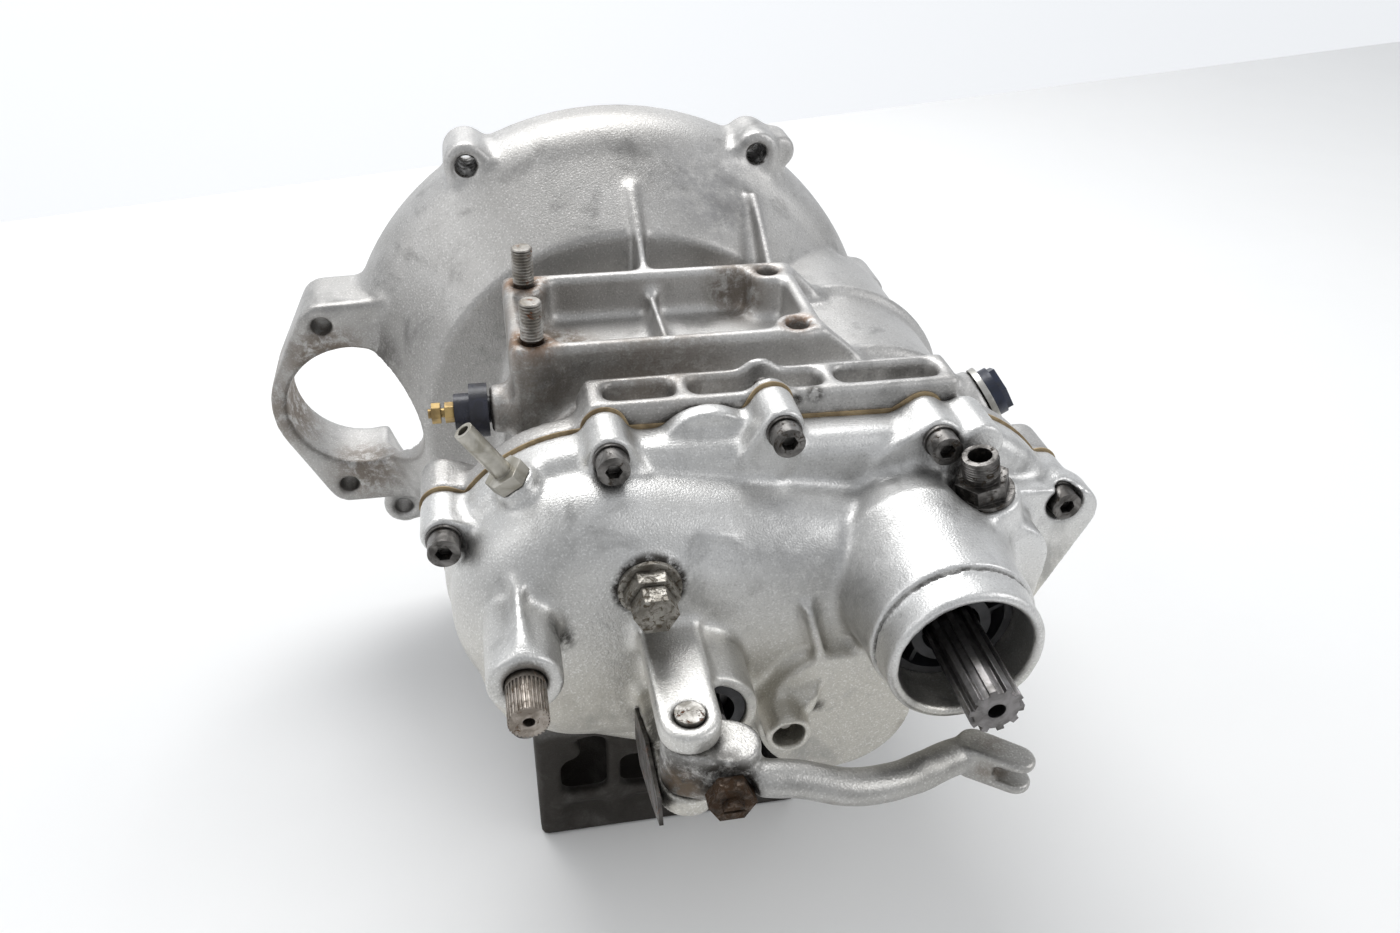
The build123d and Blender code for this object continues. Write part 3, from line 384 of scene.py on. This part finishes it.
def casting(node, name, voxel, fillet, edge, cuts=(), faces=MOST_FACES):
    """Copy of a CAD casting with rounded inner and outer edges, and its bores cut sharp again."""
    band = math.ceil((fillet + edge) / voxel) + 3
    outside = band * voxel
    points, triangles = arrays(NODES[node])
    grid = level_set(points, triangles, voxel, band)
    for amount in (fillet, -fillet - edge, edge):
        grid = offset(grid, amount, voxel, band)
    low = np.floor(points.min(0) / voxel).astype(int) - MARGIN
    high = np.ceil(points.max(0) / voxel).astype(int) + MARGIN
    corner_shade = tuple(int(v) for v in low)
    field = np.full(tuple(high - low + 1), outside, np.float32)
    grid.copyToArray(field, ijk=corner_shade)
    field = smoothed(field)
    others = np.full_like(field, outside)
    level_set(*all_but(node), voxel, band).copyToArray(others, ijk=corner_shade)
    field = np.maximum(field, CLEARANCE - others)
    for cut in cuts:
        machine(field, low, voxel, cut)
    result = openvdb.FloatGrid(outside)
    result.transform = openvdb.createLinearTransform(voxelSize=voxel)
    result.copyFromArray(np.clip(field, -outside, outside), ijk=corner_shade, tolerance=0.0)
    piece = quad_piece(name, *result.convertToQuads(0))
    triangle_count = 2 * len(piece.data.polygons)
    if triangle_count > faces:
        thin_out(piece, faces / triangle_count)
    piece.data.polygons.foreach_set("use_smooth", np.ones(len(piece.data.polygons), bool))
    return piece


def hole_places(name):
    """Centres of a bolt pattern's two holes."""
    m = MOUNTS[name]
    side = Vector((0, 0, 0))
    if "spacing_x_mm" in m["dims"]:
        side.x = m["dims"]["spacing_x_mm"] / 2 * MM
    elif abs(m["axis"][2]) > 0.5:
        side.y = m["dims"]["spacing_y_mm"] / 2 * MM
    else:
        side.z = m["dims"]["spacing_y_mm"] / 2 * MM
    return [Vector(m["pos_m"]) - side, Vector(m["pos_m"]) + side]


def pattern_cuts(name, length):
    """Cuts through both holes of a bolt pattern, longer than the holes."""
    m = MOUNTS[name]
    return [Cut(place, m["axis"], m["dims"]["hole_r_mm"] * MM, length) for place in hole_places(name)]


def bore_cut(name, length):
    m = MOUNTS[name]
    return Cut(m["pos_m"], m["axis"], m["dims"]["r_mm"] * MM, length)


def collar_cuts():
    """The groove for the boot's clip, and the inside of the collar."""
    collar = MOUNTS["boot_collar"]["pos_m"]
    groove = Vector((collar[0], -0.3015, collar[2]))
    mouth = Vector((collar[0], -0.301, collar[2]))
    return [
        Cut(groove, (0, 1, 0), 36 * MM, 1.6 * MM, 30.6 * MM),
        Cut(mouth, (0, 1, 0), 27.2 * MM, 34 * MM),
    ]


case_cuts = [bore_cut("engine_bolt_right", 72.6 * MM), bore_cut("starter_bore", 100 * MM)]
for pattern in ("engine_bolts_top", "engine_bolts_lower", "engine_bolts_bottom"):
    case_cuts += pattern_cuts(pattern, 70 * MM)
case_cuts += pattern_cuts("starter_bolts", 90 * MM)
case_cuts += pattern_cuts("bracket_hole_pair", 24 * MM)
COARSE = 1.5 * MM
FINE = 1.1 * MM
case = casting("gearbox_case", "case_casting", COARSE, 2.6 * MM, 0.6 * MM, case_cuts)
cover = casting("rear_cover", "cover_casting", FINE, 3.0 * MM, 0.5 * MM, collar_cuts())
lever = casting("clutch_lever", "lever_casting", 0.7 * MM, 1.2 * MM, 0.7 * MM, faces=60000)
for piece, node, body, slot in (
    (case, "gearbox_case", "housing", "cast_case"),
    (cover, "rear_cover", "housing", "cast_cover"),
    (lever, "clutch_lever", "lever", "lever_alloy"),
):
    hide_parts(node)
    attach(piece, body)


# ---------------------------------------------------------------- threads
def lathe(profile, origin, direction, ring=False, sides=48):
    """Points and faces of (distance, radius) pairs turned round an axis.

    The ends are closed with flat caps, or joined to each other where the profile is a ring's section.
    """
    turn = Vector(direction).to_track_quat("Z", "Y")
    start = Vector(origin)
    points, faces = [], []
    for distance, radius in profile:
        for k in range(sides):
            angle = 2 * math.pi * k / sides
            place = Vector((radius * math.cos(angle), radius * math.sin(angle), distance))
            points.append(start + turn @ place)
    rows = len(profile)
    for row in range(rows if ring else rows - 1):
        here, there = row * sides, (row + 1) % rows * sides
        for k in range(sides):
            beside = (k + 1) % sides
            faces.append((here + k, here + beside, there + beside, there + k))
    if not ring:
        faces.append(tuple(reversed(range(sides))))
        faces.append(tuple(range((rows - 1) * sides, rows * sides)))
    return points, faces


def thread_profile(end, root, crest, pitch, chamfer):
    """A stud's outline from 0 to its end, with a ridge for each pitch and a chamfered tip."""
    profile = [(0, root)]
    here = pitch * 0.3
    while here + pitch < end - chamfer:
        profile.append((here, root))
        profile.append((here + 0.4 * pitch, crest))
        profile.append((here + 0.5 * pitch, crest))
        profile.append((here + 0.9 * pitch, root))
        here += pitch
    return profile + [(end - chamfer, root), (end - chamfer * 0.9, crest), (end, crest - chamfer)]


def turned_piece(name, parts):
    """One object from several turned shapes."""
    points, faces = [], []
    for part_points, part_faces in parts:
        faces += [tuple(i + len(points) for i in face) for face in part_faces]
        points += part_points
    mesh = bpy.data.meshes.new(name)
    mesh.from_pydata(points, [], faces)
    mesh.update()
    piece = bpy.data.objects.new(name, mesh)
    bpy.context.scene.collection.objects.link(piece)
    return piece


def make_studs():
    """The bracket's two M10 studs with their threads."""
    pitch, depth, chamfer = 1.5 * MM, 0.75 * MM, 0.8 * MM
    foot_height = 102.1 * MM
    low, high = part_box("bracket_studs")
    radius = (high.x - low.x) / 2
    profile = thread_profile(high.z - foot_height, radius - depth, radius, pitch, chamfer)
    rows = (low.y + radius, high.y - radius)
    piece = turned_piece(
        "stud_threads", [lathe(profile, (low.x + radius, y, foot_height), (0, 0, 1)) for y in rows]
    )
    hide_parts("bracket_studs")
    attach(piece, "housing")
    return piece


def make_cable_thread():
    """Ridges round the speedometer cable's stub."""
    ridges, pitch = 6, 1.25 * MM
    m = MOUNTS["speedometer_cable"]
    radius, length = m["dims"]["r_mm"] * MM, m["dims"]["length_mm"] * MM
    inner, root, crest = radius - 0.3 * MM, radius - 0.1 * MM, radius + 0.35 * MM
    axis = Vector(m["axis"]).normalized()
    section = (
        (0, root), (0.35 * MM, crest), (0.5 * MM, crest), (0.85 * MM, root), (0.85 * MM, inner), (0, inner),
    )
    start = Vector(m["pos_m"]) - axis * length * 0.28
    rings = [lathe(section, start + axis * pitch * k, axis, ring=True) for k in range(ridges)]
    piece = turned_piece("cable_thread", rings)
    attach(piece, "housing")
    return piece


studs = make_studs()
cable_thread = make_cable_thread()

# ---------------------------------------------------------------- materials
GREY = (0.22, 0.22, 0.23)


def centre_of(node):
    low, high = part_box(node)
    return (low + high) / 2


def at(x, y, z):
    return (x * MM, y * MM, z * MM)


def hole_shade(*holes):
    """Painted shade in the bell's bolt holes, at a few depths below their mouths."""
    marks = []
    for hole in holes:
        for depth in (-27, -19, -11):
            # painted shade down each hole
            marks.append((Vector((hole.x, depth * MM, hole.z)), 7.8 * MM, 8.4 * MM, 0.97, DIRT_AND_SHADE))
    return marks


pin = centre_of("lever_pivot_pin")
bell_holes = hole_places("engine_bolts_top") + [Vector(MOUNTS["engine_bolt_right"]["pos_m"])]
case_marks = hole_shade(*bell_holes) + [
    (at(-54, -168, 103), 0.006, 0.017, 0.9, RUST),
    (at(-54, -111, 103), 0.006, 0.015, 0.8, RUST),
    (at(64, -168, 103), 0.005, 0.012, 0.8, RUST),
    (at(64, -111, 103), 0.004, 0.010, 0.5, RUST),
    (at(-46, -140, 84), 0.012, 0.034, 0.9, BROWN),
    (at(-46, -164, 86), 0.008, 0.022, 0.8, DIRT_AND_SHADE),
    (at(50, -110, 92), 0.008, 0.022, 0.7, BROWN),
    (at(0, -178, 85), 0.012, 0.050, 0.45, BROWN),
    (at(-63, -176, 80), 0.010, 0.040, 0.4, BROWN),
    (at(-160, -38, 30), 0.010, 0.030, 0.75, BROWN),
    (at(-185, -20, 0), 0.010, 0.040, 0.8, BROWN),
    (at(-120, -40, 34), 0.004, 0.022, 0.8, DIRT_AND_SHADE),
    (at(-148, -40, -42), 0.004, 0.030, 0.7, BROWN),
    (at(50, -62, 128), 0.010, 0.045, 0.45, GREY),
    (at(60, -214, 92), 0.001, 0.006, 0.9, DIRT_AND_SHADE),
    (at(52, -214, 90), 0.001, 0.004, 0.9, DIRT_AND_SHADE),
]
cover_stains = [
    (at(-19, -270, 44), 0.0135, 0.0165, 0.95, DIRT_AND_SHADE),
    (at(-60, -255, -10), 0.004, 0.020, 0.55, BROWN),
    (at(30, -266, 60), 0.006, 0.030, 0.35, (0.24, 0.24, 0.24)),
    (at(84, -262, 55), 0.004, 0.020, 0.40, (0.20, 0.20, 0.20)),
    (at(-19, -272, 32), 0.002, 0.009, 0.8, DIRT_AND_SHADE),
    (at(-53, -280, 36), 0.002, 0.008, 0.95, DIRT_AND_SHADE),
    (at(-54, -270, 22), 0.002, 0.009, 0.85, DIRT_AND_SHADE),
    (at(82, -277, 2), 0.004, 0.009, 0.95, DIRT_AND_SHADE),
    (at(52, -279, -26), 0.001, 0.006, 0.8, DIRT_AND_SHADE),
    (at(97, -280, -48), 0.002, 0.010, 0.7, BROWN),
    (at(pin.x * 1000, -300, -10), 0.010, 0.026, 0.75, DIRT_AND_SHADE),
    (at(-4, -296, 8), 0.004, 0.013, 0.7, DIRT_AND_SHADE),
    (at(115, -236, 70), 0.004, 0.016, 0.7, DIRT_AND_SHADE),
    (at(-40, -262, -30), 0.010, 0.040, 0.35, (0.33, 0.31, 0.27)),
    (at(60, -262, 45), 0.010, 0.050, 0.35, (0.30, 0.30, 0.30)),
]
lever_stains = [
    (at(pin.x * 1000, -322, 2), 0.008, 0.021, 0.85, DIRT_AND_SHADE),
    (at(0, -336, 2), 0.009, 0.016, 0.9, DIRT_AND_SHADE),
    (at(-18, -330, -4), 0.004, 0.014, 0.85, BROWN),
    (at(110, -326, -17), 0.004, 0.011, 0.9, BROWN),
    (at(40, -340, -8), 0.003, 0.012, 0.5, BROWN),
]
case.data.materials.append(
    cast_metal(
        "cast_case", (0.58, 0.572, 0.56), (0.41, 0.40, 0.385), 0.47, 1000, 0.8, case_marks,
        # dirt and painted shade on the foot below the case
        low_shade_and_dirt=(-0.074, -0.09, 0.92),
    )
)
cover.data.materials.append(
    cast_metal(
        "cast_cover", (0.72, 0.718, 0.71), (0.57, 0.565, 0.55), 0.43, 1150, 0.75, cover_stains,
        # painted warm bounce light and shade on the lower cover
        low_bounce_and_shade=(0.05, -0.02, (0.58, 0.555, 0.495)),
    )
)
lever.data.materials.append(
    cast_metal("lever_alloy", (0.56, 0.555, 0.54), (0.38, 0.37, 0.35), 0.42, 1100, 0.9, lever_stains)
)
# finishes of the other parts, by material slot
FINISH = {
    "gasket_paper": plain("gasket_paper", (0.50, 0.38, 0.22), (0.22, 0.16, 0.09), 0.8, 90),
    "bolt_steel": steel(
        "bolt_steel", (0.24, 0.23, 0.22), (0.07, 0.066, 0.062), 0.36, rust=0.25, rust_color=(0.05, 0.04, 0.03)
    ),
    "stud_steel": steel("stud_steel", (0.48, 0.46, 0.43), (0.24, 0.22, 0.19), 0.34, rust=0.2),
    "bearing_steel": steel("bearing_steel", (0.62, 0.62, 0.64), (0.45, 0.45, 0.47), 0.22),
    "gear_steel": steel("gear_steel", (0.45, 0.45, 0.47), (0.3, 0.3, 0.32), 0.28),
    "shaft_steel": steel("shaft_steel", (0.24, 0.23, 0.23), (0.12, 0.115, 0.11), 0.33),
    "fork_bronze": steel("fork_bronze", (0.55, 0.38, 0.18), (0.35, 0.24, 0.12), 0.35),
    "seal_rubber": plain("seal_rubber", (0.025, 0.025, 0.028), (0.012, 0.012, 0.013), 0.4, 200),
    "black_bakelite": plain("black_bakelite", (0.03, 0.032, 0.05), (0.015, 0.015, 0.02), 0.3, 150),
    "terminal_brass": steel("terminal_brass", (0.62, 0.44, 0.19), (0.30, 0.21, 0.10), 0.33),
    "plated_steel": steel("plated_steel", (0.62, 0.61, 0.58), (0.40, 0.39, 0.36), 0.34),
    "pinion_plastic": plain("pinion_plastic", (0.8, 0.78, 0.7), (0.7, 0.68, 0.6), 0.45, 120),
    "rusty_steel": steel(
        "rusty_steel", (0.13, 0.10, 0.08), (0.05, 0.04, 0.033), 0.45, scale=500, rust=0.7,
        rust_color=(0.058, 0.037, 0.024),
    ),
}
CRUSTED = steel(
    "crusted_steel", (0.46, 0.44, 0.40), (0.20, 0.185, 0.16), 0.4, scale=420, rust=0.45,
    rust_color=(0.09, 0.075, 0.055),
)
# finishes of single parts, instead of their slot's
OWN = {
    "selector_washer": CRUSTED,
    "selector_locknut": CRUSTED,
    "selector_adjuster_screw": CRUSTED,
    "shift_shaft": steel(
        "browned_steel", (0.40, 0.36, 0.32), (0.22, 0.19, 0.16), 0.4, scale=420, rust=0.2,
        rust_color=(0.12, 0.08, 0.05),
    ),
    "lever_pivot_pin": steel("worn_pin", (0.42, 0.41, 0.39), (0.20, 0.19, 0.17), 0.42, scale=420, rust=0.2),
    "lever_side_plate": steel("dark_plate", (0.16, 0.15, 0.14), (0.07, 0.065, 0.06), 0.42, rust=0.2),
    "breather_tube": steel("dull_zinc", (0.52, 0.50, 0.45), (0.34, 0.32, 0.27), 0.38),
    "filler_plug": plain("navy_cap", (0.02, 0.028, 0.06), (0.012, 0.016, 0.03), 0.32, 150),
}
FINISH["cast_case"] = case.data.materials[0]
FINISH["cast_cover"] = cover.data.materials[0]
FINISH["lever_alloy"] = lever.data.materials[0]
for part in frame["record"]["subparts"]:
    mesh = NODES[part["node"]].data
    mesh.materials.clear()
    mesh.materials.append(OWN.get(part["node"]) or FINISH[part["material_slot"]])
studs.data.materials.append(FINISH["stud_steel"])
cable_thread.data.materials.append(FINISH["bolt_steel"])


# ---------------------------------------------------------------- studio
def stage_sheet(name, corners, material):
    mesh = bpy.data.meshes.new(name)
    mesh.from_pydata(corners, [], [(0, 1, 2, 3)])
    mesh.materials.append(material)
    sheet = bpy.data.objects.new(name, mesh)
    bpy.context.scene.collection.objects.link(sheet)


def make_studio():
    """White table, white wall behind it and soft light from above."""
    floor = cad_box[0].z
    white = plain("studio_white", (0.90, 0.90, 0.895), (0.885, 0.885, 0.88), 0.7, 3, bump=0.00005)
    far_left, far_right = Vector((-1.6, 0.42, floor)), Vector((4.0, 1.9, floor))
    near_left, near_right = Vector((-3.0, -3.0, floor)), Vector((4.0, -3.0, floor))
    stage_sheet("floor", [near_left, near_right, far_right, far_left], white)
    wall = Shader("studio_wall")
    wall.bsdf.inputs["Base Color"].default_value = (0.9, 0.905, 0.91, 1)
    wall.bsdf.inputs["Roughness"].default_value = 0.9
    wall.bsdf.inputs["Emission Color"].default_value = (0.95, 0.97, 1.0, 1)
    wall.bsdf.inputs["Emission Strength"].default_value = 0.35
    back = Vector((-0.25, 0.95, 0)) * 0.9
    down, up = Vector((0, 0, -1.2)), Vector((0, 0, 2.2))
    edge = far_right - far_left
    left = far_left - edge * 0.4 + back
    right = far_right + edge * 0.3 + back
    stage_sheet("wall", [left + down, right + down, right + up, left + up], wall.material)
    world = bpy.data.worlds.new("studio")
    world.use_nodes = True
    world.node_tree.nodes["Background"].inputs["Color"].default_value = (0.93, 0.95, 0.98, 1)
    world.node_tree.nodes["Background"].inputs["Strength"].default_value = 0.60
    bpy.context.scene.world = world
    for name, place, size, power in (
        ("key", (-0.1, 0.62, 1.25), (1.1, 0.7), 13.0),
        ("left", (-1.3, -0.3, 0.9), (0.6, 0.9), 3.0),
        ("fill", (1.4, -0.8, 1.0), (0.8, 0.8), 6.0),
    ):
        data = bpy.data.lights.new(name, "AREA")
        data.shape = "RECTANGLE"
        data.size, data.size_y = size
        data.energy = power
        light = bpy.data.objects.new(name, data)
        light.location = place
        light.rotation_mode = "QUATERNION"
        light.rotation_quaternion = (-Vector(place)).to_track_quat("-Z", "Y")
        bpy.context.scene.collection.objects.link(light)
    bpy.context.scene.view_settings.view_transform = "Standard"


make_studio()
